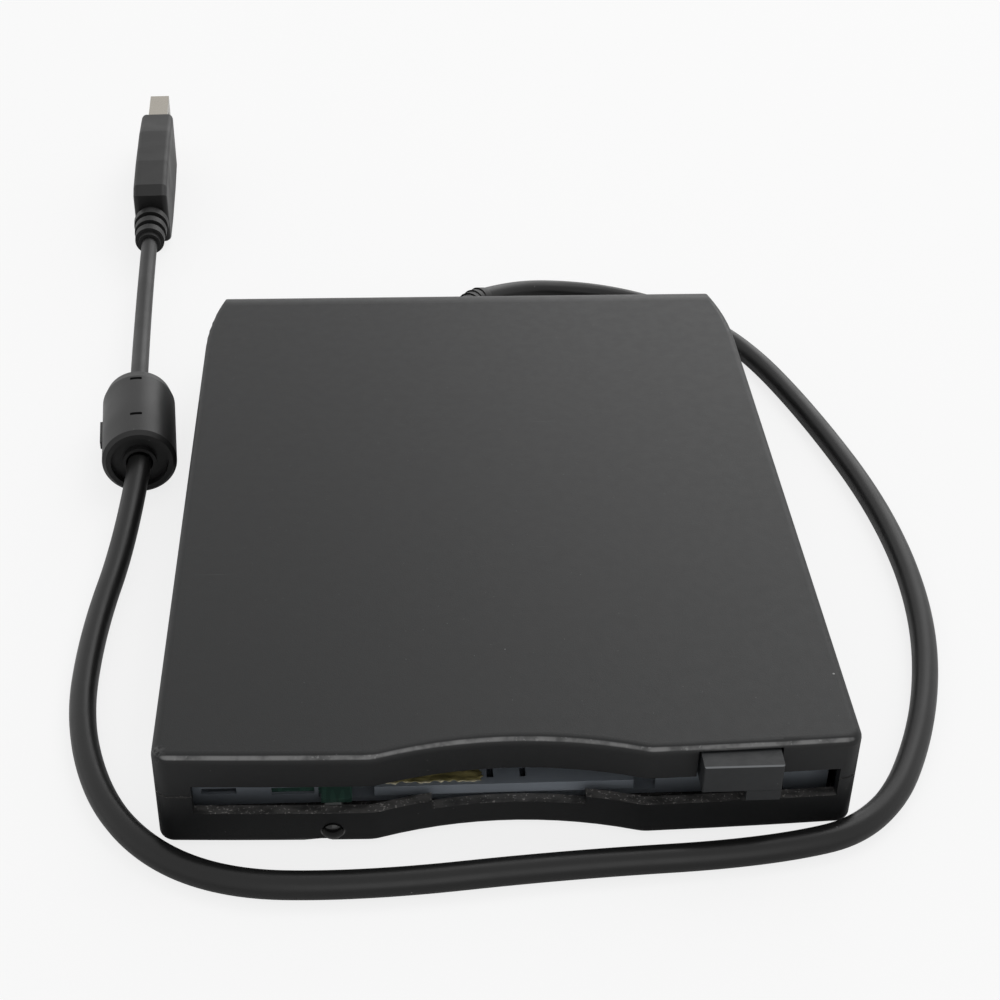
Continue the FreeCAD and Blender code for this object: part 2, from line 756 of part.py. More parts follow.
def relief_point(angle):
    """Point on the bend relief's centre line, and the way it heads there."""
    dip = math.radians(relief_dip)
    sideways = Vector(math.cos(dip), 0, -math.sin(dip))
    start = Vector(0, rear_y, exit_z)
    turn = math.radians(angle)
    point = start.add(sideways * (relief_radius * (1 - math.cos(turn))))
    point = point.add(REARWARD * (relief_radius * math.sin(turn)))
    heading = sideways * math.sin(turn) + REARWARD * math.cos(turn)
    return point, heading


def bend_relief():
    """Moulded relief: flange and neck in the case wall, then rings that taper along the cable's bend."""
    rings = 6
    flange = rod_along_y(0, exit_z, (rear_y - 4.8, rear_y - 3.1), 3.9)
    neck = rod_along_y(0, exit_z, (rear_y - 4.0, rear_y), 3.1)
    parts = []
    step = relief_radius * math.radians(relief_turn / rings)
    for ring in range(rings):
        end, heading = relief_point(relief_turn * (ring + 1) / rings)
        radius = 3.1 - 0.1 * ring
        start = end.sub(heading * (step + 0.15))
        parts.append(Part.makeCone(radius, radius - 0.35, step + 0.15, start, heading))
    return join(flange, neck, *parts)


def cord_tube(route, diameter, name):
    """Tube along a hand-chosen route: straight runs joined by tangent arcs."""
    points = [Vector(*point) for point in route]
    edges = []
    last = points[0]
    for before, corner, after in zip(points, points[1:], points[2:]):
        inward = corner.sub(before)
        outward = after.sub(corner)
        turn = inward.getAngle(outward)
        reach = 0.45 * min(inward.Length, outward.Length)
        radius = reach / math.tan(turn / 2)
        inward.normalize()
        outward.normalize()
        start = corner.sub(inward * reach)
        end = corner.add(outward * reach)
        bisector = outward.sub(inward).normalize()
        middle = corner.add(bisector * (radius / math.cos(turn / 2) - radius))
        edges.append(line(last, start))
        edges.append(arc(start, middle, end))
        print(name, "radius", round(radius, 1), "turn", round(math.degrees(turn), 1))
        last = end
    edges.append(line(last, points[-1]))
    path = Part.Wire(edges)
    heading = points[1].sub(points[0])
    profile = Part.Wire([Part.makeCircle(diameter / 2, points[0], heading)])
    tube = path.makePipeShell([profile], True, False)
    section = math.pi * diameter ** 2 / 4
    print(name, "length", round(path.Length, 1), "volume ratio", round(tube.Volume / section / path.Length, 4))
    return tube


def placed(shape, start, end):
    """Move a shape made along +Y from the origin so that it points from start to end."""
    heading = end.sub(start)
    turn = math.degrees(math.atan2(-heading.x, heading.y))
    shape.rotate(Vector(0, 0, 0), UP, turn)
    shape.translate(start)
    return shape


def ferrite_line():
    return Vector(*cord_route[-1]), Vector(*thin_cord_route[0])


def turned(profile):
    """Solid of revolution about the Y axis from pairs of distance along it and radius."""
    points = [Vector(radius, along, 0) for along, radius in profile]
    points.append(points[0])
    return Part.Face(Part.makePolygon(points)).revolve(Vector(0, 0, 0), REARWARD, 360)


def ferrite_case(upper):
    """Half of the snap-on case: barrel with a recessed front end and a tapering rear end."""
    radius = ferrite_radius
    bore = cord_diameter / 2 + 0.35
    length = ferrite_length
    outline = [(0, bore), (0, 3.1), (1.4, 3.1), (1.4, radius - 1.6), (0.0, radius - 1.6),
               (0.0, radius - 0.7), (0.7, radius), (length - 8.5, radius), (length - 6.0, radius - 0.6),
               (length - 2.4, 3.9), (length, 2.6), (length, bore - 0.4), (length - 3, bore - 0.4),
               (length - 3, bore)]
    body = turned(outline)
    core_room = turned([(2.6, bore - 0.3), (2.6, 5.6), (length - 7.4, 5.6), (length - 7.4, bore - 0.3)])
    body = body.cut(core_room)
    z = (0, 10) if upper else (-10, 0)
    half = body.common(box((-10, 10), (-1, length + 1), z))
    if upper:
        marks = [box((-1.1, 1.1), (along, along + 0.8), (radius - 0.5, 10)) for along in (6.0, 18.6)]
        half = half.cut(marks)
    else:
        latch = box((-radius - 0.5, -radius + 0.8), (8, 15), (-1.6, 0))
        half = join(half, latch)
    start, end = ferrite_line()
    return placed(half, start, end)


def ferrite_core():
    length = ferrite_length
    core = turned([(2.7, 2.5), (2.7, 5.5), (length - 7.5, 5.5), (length - 7.5, 2.5)])
    start, end = ferrite_line()
    return placed(core, start, end)


def plug_line():
    return Vector(*thin_cord_route[-1]), Vector(*plug_tip)


def plug_body():
    """Moulded grip standing on its edge, with a ribbed neck at the cable end."""
    neck_parts = [turned([(0.1, 0), (0.1, 2.4), (13, 3.2), (13, 0)])]
    for along in (1.5, 5.0, 8.5):
        neck_parts.append(turned([(along, 0), (along, 3.1 + along * 0.08), (along + 2.0, 3.2 + along * 0.08),
                                  (along + 2.0, 0)]))
    width = 7.6
    height = 16.0
    start = 12.5
    end = 55.0
    flare = 2.2
    outline = [(start, height / 2 - flare), (start + 3, height / 2 - 0.8), (start + 14, height / 2),
               (end - 12, height / 2), (end, height / 2 - 1.0)]
    side = [Vector(-width / 2, along, half) for along, half in outline]
    side += [Vector(-width / 2, along, -half) for along, half in reversed(outline)]
    side.append(side[0])
    grip = Part.Face(Part.makePolygon(side)).extrude(RIGHT * width)
    rims = [edge for edge in grip.Edges if edge.BoundBox.XLength < 0.001]
    grip = grip.makeFillet(1.2, rims)
    body = join(grip, *neck_parts)
    body = body.cut(box((-2.25, 2.25), (end - 9, end + 1), (-6.0, 6.0)))
    first, last = plug_line()
    return placed(body, first, last)


def plug_shell():
    """Folded steel shell with its four latch windows."""
    x = 2.25
    z = 6.0
    thick = 0.3
    y = (46.2, plug_length())
    shell = box((-x, x), y, (-z, z)).cut(box((-x + thick, x - thick), (y[0] - 1, y[1] + 1),
                                             (-z + thick, z - thick)))
    for centre in (-3.0, 3.0):
        shell = shell.cut(box((-5, 5), (y[1] - 8.2, y[1] - 5.8), (centre - 1.25, centre + 1.25)))
    first, last = plug_line()
    return placed(shell, first, last)


def plug_length():
    first, last = plug_line()
    return last.sub(first).Length


def plug_tongue():
    """Insulator that fills one side of the shell and carries the contacts."""
    tongue = box((-1.9, -0.1), (46.2, plug_length() - 0.4), (-5.6, 5.6))
    first, last = plug_line()
    return placed(tongue, first, last)


def plug_contacts():
    strips = [box((-0.1, 0.05), (47.5, plug_length() - 1.2), (z - 0.5, z + 0.5)) for z in (-3.5, -1.0, 1.0, 3.5)]
    first, last = plug_line()
    return group(*[placed(strip, first, last) for strip in strips])


def all_pieces():
    """Every sub-part by the name of its node."""
    pieces = {
        "upper_shell": upper_shell(),
        "lower_shell": lower_shell(),
        "case_screws": case_screws(),
        "mechanism_screws": mechanism_screws(),
        "eject_button": eject_button(),
        "eject_slider": eject_slider(),
        "eject_spring_left": eject_spring(-1),
        "eject_spring_right": eject_spring(1),
        "disk_carrier": carrier(),
        "carrier_pins": carrier_pins(),
        "lever_post": lever_post(),
        "shutter_lever": shutter_lever(),
        "tape_strip": tape_strip(),
        "chassis_tray": chassis(),
        "mechanism_cover": mechanism_cover(),
        "spindle_bearing": spindle_bearing(),
        "motor_stator": stator(),
        "motor_rotor": rotor(),
        "spindle_shaft": spindle_shaft(),
        "spindle_hub": spindle_hub(),
        "drive_pin": drive_pin(),
        "guide_rod_right": rod(main_rod_x),
        "guide_rod_left": rod(second_rod_x),
        "rod_clamps": rod_clamps(),
        "head_carriage": carriage(),
        "lower_head": lower_head(),
        "upper_head_arm": upper_arm(),
        "upper_head": upper_head(),
        "arm_pin": arm_pin(),
        "lead_screw": lead_screw(),
        "stepper_motor": stepper(),
        "sensor_board": sensor_board(),
        "main_board": main_board(),
        "board_chips": board_chips(),
        "interface_board": interface_board(),
        "interface_chips": interface_chips(),
        "flat_cable": flat_cable(),
        "status_light_lens": light_lens(),
        "status_light": light_source(),
        "bend_relief": bend_relief(),
        "cord_main": cord_tube(cord_route, cord_diameter, "cord_main"),
        "cord_plug_side": cord_tube(thin_cord_route, thin_cord_diameter, "cord_plug_side"),
        "ferrite_case_upper": ferrite_case(True),
        "ferrite_case_lower": ferrite_case(False),
        "ferrite_core": ferrite_core(),
        "plug_body": plug_body(),
        "plug_shell": plug_shell(),
        "plug_tongue": plug_tongue(),
        "plug_contacts": plug_contacts(),
    }
    for place, (x, y) in feet_at.items():
        pieces["rubber_foot_" + place] = foot(x, y)
    for name, (x, y) in sensors.items():
        pieces[name + "_switch"] = sensor_switch(x, y)
        pieces[name + "_plunger"] = sensor_plunger(x, y)
    return pieces


def main():
    os.makedirs("parts", exist_ok=True)
    for name, shape in all_pieces().items():
        if not shape.isValid():
            print("not valid:", name)
        save(name, shape)


if __name__ == "__main__":
    main()
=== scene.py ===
"""External floppy disk drive with its cable: camera, cables, finishes, small worn details, light."""

import math

import bpy
from mathutils import Matrix, Vector, noise


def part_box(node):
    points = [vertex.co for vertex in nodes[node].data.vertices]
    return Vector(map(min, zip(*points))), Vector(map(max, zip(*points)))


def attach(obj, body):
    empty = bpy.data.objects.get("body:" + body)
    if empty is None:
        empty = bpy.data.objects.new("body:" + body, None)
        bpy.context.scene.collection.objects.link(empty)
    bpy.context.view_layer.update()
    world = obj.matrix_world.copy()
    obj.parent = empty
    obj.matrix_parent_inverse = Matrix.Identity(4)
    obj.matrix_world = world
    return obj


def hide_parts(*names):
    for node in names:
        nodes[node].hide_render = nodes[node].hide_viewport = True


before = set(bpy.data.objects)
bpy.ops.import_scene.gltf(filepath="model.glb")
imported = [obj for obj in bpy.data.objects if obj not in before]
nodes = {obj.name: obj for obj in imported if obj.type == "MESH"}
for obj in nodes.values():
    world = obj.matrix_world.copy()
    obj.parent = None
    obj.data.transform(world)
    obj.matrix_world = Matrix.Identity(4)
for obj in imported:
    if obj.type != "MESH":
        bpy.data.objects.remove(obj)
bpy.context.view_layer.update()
mm = 0.001

# Places on the case, from the frame
case_low, case_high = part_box("upper_shell")
left_x = case_low[0]
front_y = case_low[1]
top_z = case_high[2]


# Camera: where the photographer stood, and how the lens sees
picture_width = 1000
focal_pixels = 1832.38
sensor_width = 36.0
camera_place = Vector((-0.01733, -0.26265, 0.20085))
camera_yaw = math.radians(4.334)
camera_pitch = math.radians(35.459)
camera_roll = math.radians(1.463)


def add_camera():
    """A camera at camera_place, turned by yaw, pitch and roll."""
    data = bpy.data.cameras.new("view")
    data.sensor_width = sensor_width
    data.lens = focal_pixels / picture_width * sensor_width
    data.clip_start = 0.01
    data.clip_end = 20
    camera = bpy.data.objects.new("view", data)
    bpy.context.scene.collection.objects.link(camera)
    forward = Vector((
        math.sin(camera_yaw) * math.cos(camera_pitch),
        math.cos(camera_yaw) * math.cos(camera_pitch),
        -math.sin(camera_pitch),
    ))
    level = Vector((math.cos(camera_yaw), -math.sin(camera_yaw), 0))
    upright = level.cross(forward)
    right = math.cos(camera_roll) * level + math.sin(camera_roll) * upright
    up = math.cos(camera_roll) * upright - math.sin(camera_roll) * level
    turn = Matrix((right, up, -forward)).transposed()
    camera.matrix_world = Matrix.Translation(camera_place) @ turn.to_4x4()
    bpy.context.scene.camera = camera


add_camera()

# Cables: the routes of the part, in metres
cord_diameter = 4.3 * mm
thin_cord_diameter = 3.5 * mm
cord_route = [
    (0.00446, 0.08361, 0.00715),
    (0.0105, 0.0900, 0.0052),
    (0.0205, 0.0943, 0.0031),
    (0.0335, 0.0931, 0.00215),
    (0.0470, 0.0849, 0.00215),
    (0.0588, 0.0708, 0.00215),
    (0.0675, 0.0443, 0.00215),
    (0.0748, 0.0103, 0.00215),
    (0.0752, -0.0207, 0.00215),
    (0.0685, -0.0482, 0.00215),
    (0.0565, -0.0705, 0.00215),
    (0.0380, -0.0753, 0.00215),
    (0.0080, -0.0765, 0.00215),
    (-0.0220, -0.0795, 0.00215),
    (-0.0440, -0.0781, 0.00215),
    (-0.0588, -0.0665, 0.00215),
    (-0.0666, -0.0457, 0.00215),
    (-0.0673, -0.0217, 0.00215),
    (-0.0640, 0.0043, 0.0034),
    (-0.0632, 0.0228, 0.0070),
]
thin_cord_route = [
    (-0.0661, 0.0511, 0.0070),
    (-0.0683, 0.0800, 0.0056),
    (-0.0693, 0.1083, 0.0080),
]


def add_cable(name, node, route, diameter):
    """A smooth line through the route's points, round in section, in place of its CAD solid."""
    data = bpy.data.curves.new(name, "CURVE")
    data.dimensions = "3D"
    spline = data.splines.new("NURBS")
    spline.points.add(len(route) - 1)
    for point, place in zip(spline.points, route):
        point.co = (*place, 1)
        point.radius = diameter / 2
    spline.order_u = 3
    spline.use_endpoint_u = True
    spline.resolution_u = 16
    data.bevel_depth = 1.0
    data.bevel_resolution = 6
    data.use_fill_caps = True
    cable = bpy.data.objects.new(name, data)
    bpy.context.scene.collection.objects.link(cable)
    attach(cable, "root")
    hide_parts(node)
    return cable


main_cable = add_cable("main_cable", "cord_main", cord_route, cord_diameter)
plug_cable = add_cable("plug_cable", "cord_plug_side", thin_cord_route, thin_cord_diameter)


def grey(value, warm=0.0):
    """A neutral tone, or a warm one, or a cool one where warm is negative."""
    return (value * (1 + warm), value, value * (1 - warm))


class Finish:
    """One principled shader whose colour, roughness and bump come from textures in the object's metres."""

    def __init__(self, name, dark, light, roughness, metallic=0.0, specular=0.5, patch=40.0):
        self.made = bpy.data.materials.new(name)
        self.made.use_nodes = True
        self.tree = self.made.node_tree
        self.shader = self.tree.nodes["Principled BSDF"]
        self.shader.inputs["Metallic"].default_value = metallic
        self.shader.inputs["Specular IOR Level"].default_value = specular
        self.made.diffuse_color = (*light, 1)
        coordinates = self.tree.nodes.new("ShaderNodeTexCoord")
        self.place = coordinates.outputs["Object"]
        self.facing = coordinates.outputs["Normal"]
        self.bump = None
        self.colour = self.blend(self.noise(patch, detail=5), dark, light)
        low, high = roughness
        self.rough = self.span(self.noise(patch * 2.3, detail=4), 0.3, 0.7, low, high)

    def link(self, source, socket):
        """Feeds a socket from another socket, a colour, a vector or a number."""
        if isinstance(source, bpy.types.NodeSocket):
            self.tree.links.new(source, socket)
        elif isinstance(source, tuple):
            socket.default_value = (*source, 1) if len(source) == 3 and socket.type == "RGBA" else source
        else:
            socket.default_value = source

    def stretched(self, stretch, offset=(0, 0, 0)):
        """The place on the object, scaled by stretch and moved by offset."""
        node = self.tree.nodes.new("ShaderNodeMapping")
        node.inputs["Scale"].default_value = stretch
        node.inputs["Location"].default_value = offset
        self.link(self.place, node.inputs["Vector"])
        return node.outputs["Vector"]

    def noise(self, scale, detail=3, stretch=(1, 1, 1), offset=(0, 0, 0)):
        """Cloudy noise with scale patches to the metre."""
        node = self.tree.nodes.new("ShaderNodeTexNoise")
        node.inputs["Scale"].default_value = scale
        node.inputs["Detail"].default_value = detail
        self.link(self.stretched(stretch, offset), node.inputs["Vector"])
        return node.outputs["Fac"]

    def span(self, value, low, high, first=0.0, last=1.0):
        """Goes smoothly from first to last as the value goes from low to high."""
        node = self.tree.nodes.new("ShaderNodeMapRange")
        node.interpolation_type = "SMOOTHSTEP"
        self.link(value, node.inputs["Value"])
        for socket, number in (("From Min", low), ("From Max", high), ("To Min", first), ("To Max", last)):
            node.inputs[socket].default_value = number
        return node.outputs["Result"]

    def math(self, operation, first, second=0.0):
        node = self.tree.nodes.new("ShaderNodeMath")
        node.operation = operation
        self.link(first, node.inputs[0])
        self.link(second, node.inputs[1])
        return node.outputs[0]

    def times(self, first, *others):
        product = first
        for other in others:
            product = self.math("MULTIPLY", product, other)
        return product

    def axis(self, vector, name):
        node = self.tree.nodes.new("ShaderNodeSeparateXYZ")
        self.link(vector, node.inputs[0])
        return node.outputs[name]

    def distance(self, vector, place):
        node = self.tree.nodes.new("ShaderNodeVectorMath")
        node.operation = "DISTANCE"
        self.link(vector, node.inputs[0])
        node.inputs[1].default_value = place
        return node.outputs["Value"]

    def blend(self, mask, first, second):
        """The first colour where the mask is 0 and the second where it is 1."""
        share_input, first_colour_input, second_colour_input, colour_output = 0, 6, 7, 2
        node = self.tree.nodes.new("ShaderNodeMix")
        node.data_type = "RGBA"
        self.link(mask, node.inputs[share_input])
        self.link(first, node.inputs[first_colour_input])
        self.link(second, node.inputs[second_colour_input])
        return node.outputs[colour_output]

    def specks(self, cell, radius, share, offset=(0, 0, 0)):
        """Small dots, one at most in each cell of that size, in that share of the cells."""
        node = self.tree.nodes.new("ShaderNodeTexVoronoi")
        node.inputs["Scale"].default_value = 1 / cell
        self.link(self.stretched((1, 1, 1), offset), node.inputs["Vector"])
        dot = self.span(node.outputs["Distance"], radius / cell, radius / cell * 0.6)
        pick = self.math("LESS_THAN", self.axis(node.outputs["Color"], "X"), share)
        return self.times(dot, pick)

    def near(self, place, radius, unevenness):
        """1 within radius of a place, fading out unevenly."""
        uneven = self.times(self.noise(900, detail=4), radius * unevenness)
        away = self.distance(self.place, place)
        return self.span(self.math("ADD", away, uneven), radius * 1.3, radius * 0.5)

    def front_edge(self, low, high):
        """1 on the rounding between front and top, which faces both ways."""
        forward = self.times(self.axis(self.facing, "Y"), -1.0)
        return self.span(self.times(forward, self.axis(self.facing, "Z")), low, high)

    def paint(self, mask, colour, rough=None):
        """Lays a colour, and a roughness where one is given, over what is there."""
        self.colour = self.blend(mask, self.colour, colour)
        if rough is not None:
            change = self.times(mask, self.math("SUBTRACT", rough, self.rough))
            self.rough = self.math("ADD", self.rough, change)

    def dust(self, cell, radius, share, strength, tone, rough=0.8, offset=(0, 0, 0)):
        """Scatters matt grey specks."""
        self.paint(self.times(self.specks(cell, radius, share, offset), strength), grey(tone), rough)

    def grain(self, size, depth, detail=2):
        """Bump of that grain size and depth, added to what is there."""
        node = self.tree.nodes.new("ShaderNodeBump")
        node.inputs["Distance"].default_value = depth
        node.inputs["Strength"].default_value = 1.0
        self.link(self.noise(1 / size, detail), node.inputs["Height"])
        if self.bump is not None:
            self.link(self.bump, node.inputs["Normal"])
        self.bump = node.outputs["Normal"]

    def done(self):
        self.link(self.colour, self.shader.inputs["Base Color"])
        self.link(self.rough, self.shader.inputs["Roughness"])
        self.link(self.bump, self.shader.inputs["Normal"])
        return self.made


def case_finish(name):
    """Matt black moulding: spark grain, dust, fine scratches and a front edge painted lighter, partly for
    rubbed wear and partly as a painted highlight.
    """
    finish = Finish(name, grey(0.0075, -0.04), grey(0.0092, -0.04), (0.42, 0.46), specular=0.28, patch=220.0)
    finish.grain(size=0.16 * mm, depth=0.018 * mm)
    finish.grain(size=1.1 * mm, depth=0.005 * mm)
    # Painted highlight: the rounding between front and top is painted light grey in patches, partly rubbed
    # wear and partly the bright line of light on that edge; the nicks lie in the same band.
    rim = finish.front_edge(0.41, 0.49)
    wear_and_highlight = finish.span(finish.noise(320, detail=6), 0.36, 0.60, first=0.35)
    finish.paint(finish.times(rim, wear_and_highlight), grey(0.17), rough=0.30)
    nicks = finish.span(finish.noise(1500, detail=4), 0.62, 0.68)
    finish.paint(finish.times(rim, nicks, 0.7), grey(0.22), rough=0.5)
    corner = (left_x + 1.4 * mm, front_y + 2.6 * mm, top_z - 0.8 * mm)
    scrape = finish.near(corner, radius=2.0 * mm, unevenness=1.1)
    broken = finish.span(finish.noise(1800, detail=4), 0.4, 0.6)
    finish.paint(finish.times(scrape, broken), grey(0.22), rough=0.6)
    long_scratch = finish.span(finish.noise(1, detail=2, stretch=(25, 1600, 60)), 0.735, 0.76)
    patchy = finish.span(finish.noise(30, detail=2, offset=(3, 1, 7)), 0.50, 0.62)
    finish.paint(finish.times(long_scratch, patchy, 0.5), grey(0.16), rough=0.5)
    finish.dust(cell=8.0 * mm, radius=0.22 * mm, share=0.40, strength=0.8, tone=0.40)
    finish.dust(cell=1.3 * mm, radius=0.07 * mm, share=0.22, strength=0.6, tone=0.22, offset=(2, 5, 1))
    return finish


def upper_case():
    return case_finish("black_moulding_top").done()


def lower_case():
    """As the top, with pale dust on the sill inside the slot and a painted highlight on the lower half of a
    ring round the light.
    """
    finish = case_finish("black_moulding_base")
    near_front = finish.span(finish.axis(finish.place, "Y"), front_y + 9 * mm, front_y + 7 * mm)
    upward = finish.span(finish.axis(finish.facing, "Z"), 0.8, 0.97)
    settled = finish.span(finish.noise(620, detail=6, stretch=(0.5, 1, 1)), 0.32, 0.64, 0.22, 0.85)
    dust = finish.times(upward, near_front, settled)
    finish.paint(dust, grey(0.095, 0.02), rough=0.85)
    lint = finish.span(finish.noise(2600, detail=3), 0.60, 0.66)
    finish.paint(finish.times(dust, lint), grey(0.34, 0.04), rough=0.9)
    low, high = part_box("status_light_lens")
    light_x = (low[0] + high[0]) / 2
    light_z = (low[2] + high[2]) / 2
    # Painted highlight: the lower half of a thin ring round the light is painted pale grey.
    from_axis = finish.distance(finish.stretched((1, 0, 1)), (light_x, 0, light_z))
    ring_highlight = finish.span(from_axis, 1.95 * mm, 1.7 * mm)
    lower_half = finish.span(finish.axis(finish.place, "Z"), light_z + 0.2 * mm, light_z - 1.0 * mm)
    finish.paint(finish.times(ring_highlight, near_front, lower_half, 0.9), grey(0.30), rough=0.3)
    return finish.done()


def moulded(name, value, roughness, grain=0.2 * mm, dust=0.4, specular=0.4):
    """Plain moulding of one tone with a fine grain and some dust."""
    finish = Finish(name, grey(value * 0.85), grey(value * 1.15), roughness, specular=specular)
    finish.grain(size=grain, depth=0.012 * mm)
    finish.dust(cell=2.2 * mm, radius=0.10 * mm, share=0.25, strength=dust, tone=0.30)
    return finish.done()


def rolled_steel(name, colour, roughness, along=(1, 30, 1), spots=0.25, metallic=1.0):
    """Sheet or bar steel: rolling lines, stain spots and a little dust."""
    finish = Finish(name, tuple(part * 0.78 for part in colour), colour, roughness,
                    metallic=metallic, patch=90.0)
    lines = finish.span(finish.noise(160, detail=3, stretch=along), 0.35, 0.65, last=0.45)
    finish.paint(lines, tuple(part * 0.82 for part in colour))
    finish.dust(cell=1.6 * mm, radius=0.12 * mm, share=0.3, strength=spots, tone=0.12, rough=0.7)
    finish.grain(size=0.5 * mm, depth=0.006 * mm)
    return finish.done()


def button_with_painted_highlight(name):
    """Grey moulding with a painted highlight along its front top edge, which is also smoother there."""
    finish = Finish(name, grey(0.016, -0.06), grey(0.021, -0.06), (0.42, 0.52), specular=0.30, patch=300.0)
    finish.grain(size=0.18 * mm, depth=0.012 * mm)
    # Painted highlight: the front top edge is painted light grey.
    finish.paint(finish.front_edge(0.18, 0.42), grey(0.17, -0.04), rough=0.35)
    finish.dust(cell=1.6 * mm, radius=0.10 * mm, share=0.3, strength=0.6, tone=0.25)
    return finish.done()


def circuit_board(name):
    """Green solder mask over a faint pattern of tracks."""
    finish = Finish(name, (0.05, 0.105, 0.085), (0.07, 0.15, 0.12), (0.3, 0.42), patch=120.0)
    tracks = finish.span(finish.noise(1, detail=0, stretch=(900, 140, 1)), 0.50, 0.54)
    finish.paint(finish.times(tracks, 0.6), (0.09, 0.20, 0.15))
    finish.grain(size=0.7 * mm, depth=0.01 * mm)
    return finish.done()


def wound_copper(name):
    """Enamelled copper, rough with the turns of its wire."""
    finish = Finish(name, (0.42, 0.17, 0.07), (0.62, 0.27, 0.12), (0.3, 0.42), metallic=1.0, patch=200.0)
    finish.grain(size=0.28 * mm, depth=0.06 * mm, detail=0)
    return finish.done()


def jacket(name):
    """Smooth vinyl jacket: soft gloss, faint waves and dust."""
    finish = Finish(name, grey(0.0075), grey(0.0105), (0.32, 0.40), specular=0.30, patch=60.0)
    finish.grain(size=2.5 * mm, depth=0.02 * mm)
    finish.grain(size=0.35 * mm, depth=0.008 * mm)
    finish.dust(cell=3.0 * mm, radius=0.12 * mm, share=0.3, strength=0.5, tone=0.30)
    return finish.done()


def glossy_lens(name):
    """Dark smoked lens, almost mirror smooth."""
    finish = Finish(name, grey(0.004), grey(0.008), (0.06, 0.12), specular=0.35, patch=300.0)
    finish.grain(size=0.9 * mm, depth=0.004 * mm)
    return finish.done()


def torn_tape(name, middle_y, half_width):
    """Old tape: olive yellow with cream edges where its backing lifts, and painted shade in its creases."""
    finish = Finish(name, (0.08, 0.072, 0.028), (0.27, 0.23, 0.088), (0.35, 0.55), specular=0.5, patch=420.0)
    away = finish.math("ABSOLUTE", finish.math("SUBTRACT", finish.axis(finish.place, "Y"), middle_y))
    uneven = finish.times(finish.noise(700, detail=4), 0.9 * mm)
    edge = finish.span(finish.math("ADD", away, uneven), half_width * 0.95, half_width * 1.25)
    finish.paint(edge, (0.85, 0.78, 0.56), rough=0.6)
    # Painted shade: darker olive bands where creases in the tape would be in shade.
    crease_shade = finish.span(finish.noise(500, detail=5, stretch=(1, 2.4, 1)), 0.56, 0.66)
    finish.paint(finish.times(crease_shade, 0.6), (0.12, 0.10, 0.04), rough=0.6)
    finish.grain(size=0.6 * mm, depth=0.05 * mm)
    return finish.done()


# Pieces and the finish that they share
finishes = {
    ("upper_shell",): upper_case(),
    ("lower_shell",): lower_case(),
    ("eject_button",): button_with_painted_highlight("button_moulding"),
    ("case_screws", "mechanism_screws"): rolled_steel("screw_steel", (0.36, 0.35, 0.33), (0.3, 0.42)),
    ("eject_slider", "disk_carrier", "shutter_lever", "mechanism_cover", "rod_clamps"):
        rolled_steel("plated_steel", (0.46, 0.49, 0.54), (0.36, 0.50), metallic=0.6),
    ("chassis_tray",): rolled_steel("chassis_steel", (0.32, 0.355, 0.40), (0.40, 0.52), metallic=0.4),
    ("eject_spring_left", "eject_spring_right", "carrier_pins", "lever_post", "arm_pin", "drive_pin",
     "guide_rod_left", "guide_rod_right", "lead_screw", "spindle_shaft"):
        rolled_steel("bright_steel", (0.50, 0.50, 0.50), (0.2, 0.3), along=(30, 1, 30), spots=0.1),
    ("spindle_bearing", "plug_contacts"):
        rolled_steel("bronze", (0.62, 0.43, 0.17), (0.25, 0.38), spots=0.1),
    ("motor_stator",): wound_copper("copper_windings"),
    ("motor_rotor", "spindle_hub", "stepper_motor"):
        rolled_steel("motor_steel", (0.42, 0.42, 0.41), (0.3, 0.4), along=(1, 1, 1)),
    ("head_carriage", "upper_head_arm", "write_protect_switch", "density_switch", "disk_in_switch"):
        moulded("inner_moulding", 0.020, (0.6, 0.75), dust=0.1),
    ("write_protect_plunger", "density_plunger", "disk_in_plunger"):
        moulded("pale_pins", 0.55, (0.4, 0.5)),
    ("lower_head", "upper_head"): moulded("ceramic", 0.42, (0.15, 0.25), dust=0.1),
    ("sensor_board", "main_board", "interface_board"): circuit_board("green_board"),
    ("board_chips", "interface_chips"): moulded("chip_moulding", 0.022, (0.45, 0.55), dust=0.2),
    ("flat_cable",): moulded("white_ribbon", 0.60, (0.35, 0.45), dust=0.1),
    ("status_light_lens",): glossy_lens("dark_lens"),
    ("status_light",): moulded("light_body", 0.50, (0.15, 0.25), dust=0.0),
    ("bend_relief",): moulded("soft_relief", 0.010, (0.42, 0.52), dust=0.4, specular=0.3),
    ("ferrite_case_upper", "ferrite_case_lower"):
        moulded("ferrite_shell", 0.012, (0.36, 0.46), dust=0.7, specular=0.34),
    ("ferrite_core",): moulded("ferrite_grey", 0.06, (0.5, 0.6), dust=0.2),
    ("plug_body",): moulded("plug_moulding", 0.010, (0.40, 0.50), dust=0.6, specular=0.26),
    ("plug_shell",): rolled_steel("nickel", (0.40, 0.37, 0.32), (0.22, 0.32), along=(30, 1, 1), spots=0.4),
    ("plug_tongue",): moulded("white_tongue", 0.62, (0.3, 0.4), dust=0.1),
    ("rubber_foot_front_left", "rubber_foot_front_right", "rubber_foot_rear_left", "rubber_foot_rear_right"):
        moulded("foot_rubber", 0.014, (0.7, 0.85), grain=0.3 * mm, dust=0.8),
}
for names, finish in finishes.items():
    for node_name in names:
        nodes[node_name].data.materials.clear()
        nodes[node_name].data.materials.append(finish)
cable_jacket = jacket("vinyl_jacket")
for cable in (main_cable, plug_cable):
    cable.data.materials.append(cable_jacket)


